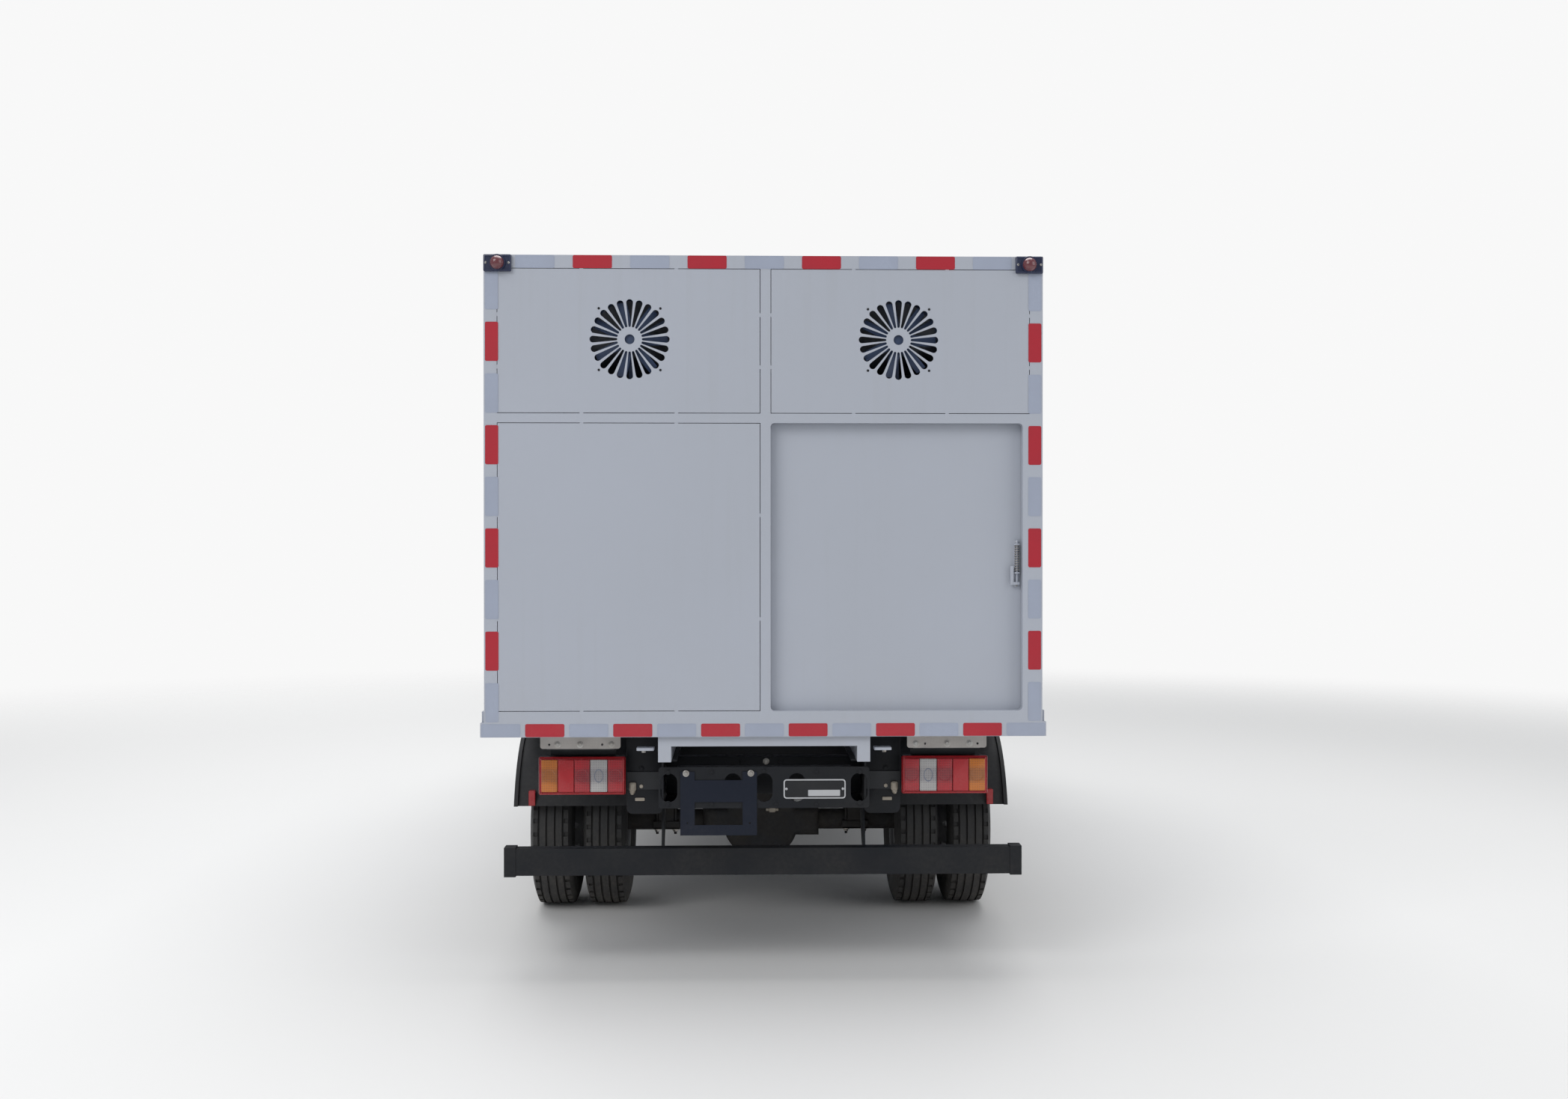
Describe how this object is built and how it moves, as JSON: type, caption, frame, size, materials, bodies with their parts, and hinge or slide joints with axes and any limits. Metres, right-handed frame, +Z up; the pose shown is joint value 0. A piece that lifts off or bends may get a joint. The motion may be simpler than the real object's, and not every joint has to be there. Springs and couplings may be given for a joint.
{
  "type": "poultry transport truck",
  "caption": "Light cab-over truck with a closed, fan-ventilated poultry box, a sliding rear door, a side door and a tilting cab.",
  "frame": {"origin": "on the ground, under the middle of the overall length and width", "axes": "+Y forward, +X to the truck's right side, +Z up"},
  "size_m": [2.47, 5.9949, 2.8059],
  "materials": {
    "white_paint": "satin",
    "cab_paint": "gloss",
    "chassis_paint": "satin",
    "navy_paint": "satin",
    "wheel_paint": "satin",
    "zinc": "satin",
    "tank_metal": "satin",
    "casting": "matte",
    "tread_rubber": "matte",
    "black_plastic": "matte",
    "grey_plastic": "matte",
    "lamp_red": "gloss",
    "lamp_clear": "gloss",
    "marker_navy": "gloss",
    "glass": "gloss",
    "cloth": "matte"
  },
  "bodies": {
    "chassis": {"frame_rails": "chassis_paint", "frame_cross_members": "chassis_paint", "rear_crossmember": "chassis_paint", "plate_bracket": "navy_paint", "box_floor": "white_paint", "box_side_left": "white_paint", "box_side_right": "white_paint", "box_front_wall": "white_paint", "box_roof": "white_paint", "rear_frame": "white_paint", "rear_panels": "white_paint", "fan_housings": "black_plastic", "marker_lamps": "marker_navy", "rear_underrun": "chassis_paint", "tail_lamps": "lamp_red", "lamp_brackets": "zinc", "rear_mudguards": "black_plastic", "side_guards": "white_paint", "fuel_tank": "tank_metal", "battery_box": "black_plastic", "rear_axle": "casting", "front_axle": "casting", "leaf_springs": "casting", "powertrain": "casting", "exhaust": "casting", "front_bumper": "cab_paint", "headlamps": "lamp_clear"},
    "cab": {"cab_shell": "cab_paint", "cab_glass": "glass", "cab_grille": "black_plastic", "dashboard": "grey_plastic", "seats": "cloth"},
    "door_left": {"cab_door_left": "cab_paint", "door_glass_left": "glass", "mirror_left": "black_plastic"},
    "door_right": {"cab_door_right": "cab_paint", "door_glass_right": "glass", "mirror_right": "black_plastic"},
    "rear_slider": {"rear_door": "white_paint", "door_latch": "zinc"},
    "side_leaf": {"side_door": "white_paint"},
    "fan_left": {"fan_rotor_left": "black_plastic"},
    "fan_right": {"fan_rotor_right": "black_plastic"},
    "steer_left": {"knuckle_left": "casting"},
    "steer_right": {"knuckle_right": "casting"},
    "link": {"tie_rod": "casting"},
    "wheel_front_left": {"tyre_front_left": "tread_rubber", "rim_front_left": "wheel_paint"},
    "wheel_front_right": {"tyre_front_right": "tread_rubber", "rim_front_right": "wheel_paint"},
    "wheel_rear_left": {"tyres_rear_left": "tread_rubber", "rims_rear_left": "wheel_paint"},
    "wheel_rear_right": {"tyres_rear_right": "tread_rubber", "rims_rear_right": "wheel_paint"}
  },
  "joints": [
    {"name": "cab_tilt", "type": "hinge", "parent": "chassis", "child": "cab", "pos_m": [0, 2.79, 0.8], "axis": [-1, 0, 0], "range_deg": [0, 45]},
    {"name": "cab_door_left_swing", "type": "hinge", "parent": "cab", "child": "door_left", "pos_m": [-0.992, 2.64, 1.2], "axis": [0, 0, -1], "range_deg": [0, 70]},
    {"name": "cab_door_right_swing", "type": "hinge", "parent": "cab", "child": "door_right", "pos_m": [0.992, 2.64, 1.2], "axis": [0, 0, 1], "range_deg": [0, 70]},
    {"name": "rear_door_slide", "type": "slide", "parent": "chassis", "child": "rear_slider", "axis": [-1, 0, 0], "range_m": [0, 0.905]},
    {"name": "side_door_swing", "type": "hinge", "parent": "chassis", "child": "side_leaf", "pos_m": [1.087, 0.7275, 1.8], "axis": [0, 0, 1], "range_deg": [0, 100]},
    {"name": "fan_left_spin", "type": "hinge", "parent": "chassis", "child": "fan_left", "pos_m": [-0.517, -2.9225, 2.483], "axis": [0, 1, 0], "continuous": true},
    {"name": "fan_right_spin", "type": "hinge", "parent": "chassis", "child": "fan_right", "pos_m": [0.517, -2.9225, 2.483], "axis": [0, 1, 0], "continuous": true},
    {"name": "kingpin_left", "type": "hinge", "parent": "chassis", "child": "steer_left", "pos_m": [-0.69, 1.8475, 0.385], "axis": [0, 0, 1], "range_deg": [-35, 35]},
    {"name": "kingpin_right", "type": "hinge", "parent": "chassis", "child": "steer_right", "pos_m": [0.69, 1.8475, 0.385], "axis": [0, 0, 1], "range_deg": [-35, 35]},
    {"name": "tie_rod_pivot", "type": "hinge", "parent": "steer_left", "child": "link", "pos_m": [-0.69, 1.6575, 0.3], "axis": [0, 0, 1], "range_deg": [-35, 35]},
    {"name": "front_left_roll", "type": "hinge", "parent": "steer_left", "child": "wheel_front_left", "pos_m": [-0.82, 1.8475, 0.385], "axis": [-1, 0, 0], "continuous": true},
    {"name": "front_right_roll", "type": "hinge", "parent": "steer_right", "child": "wheel_front_right", "pos_m": [0.82, 1.8475, 0.385], "axis": [-1, 0, 0], "continuous": true},
    {"name": "rear_left_roll", "type": "hinge", "parent": "chassis", "child": "wheel_rear_left", "pos_m": [-0.83, -1.5125, 0.385], "axis": [-1, 0, 0], "continuous": true},
    {"name": "rear_right_roll", "type": "hinge", "parent": "chassis", "child": "wheel_rear_right", "pos_m": [0.83, -1.5125, 0.385], "axis": [-1, 0, 0], "continuous": true}
  ],
  "couplings": [
    {"joint": "kingpin_right", "follows": "kingpin_left", "ratio": 1},
    {"joint": "tie_rod_pivot", "follows": "kingpin_left", "ratio": -1}
  ]
}
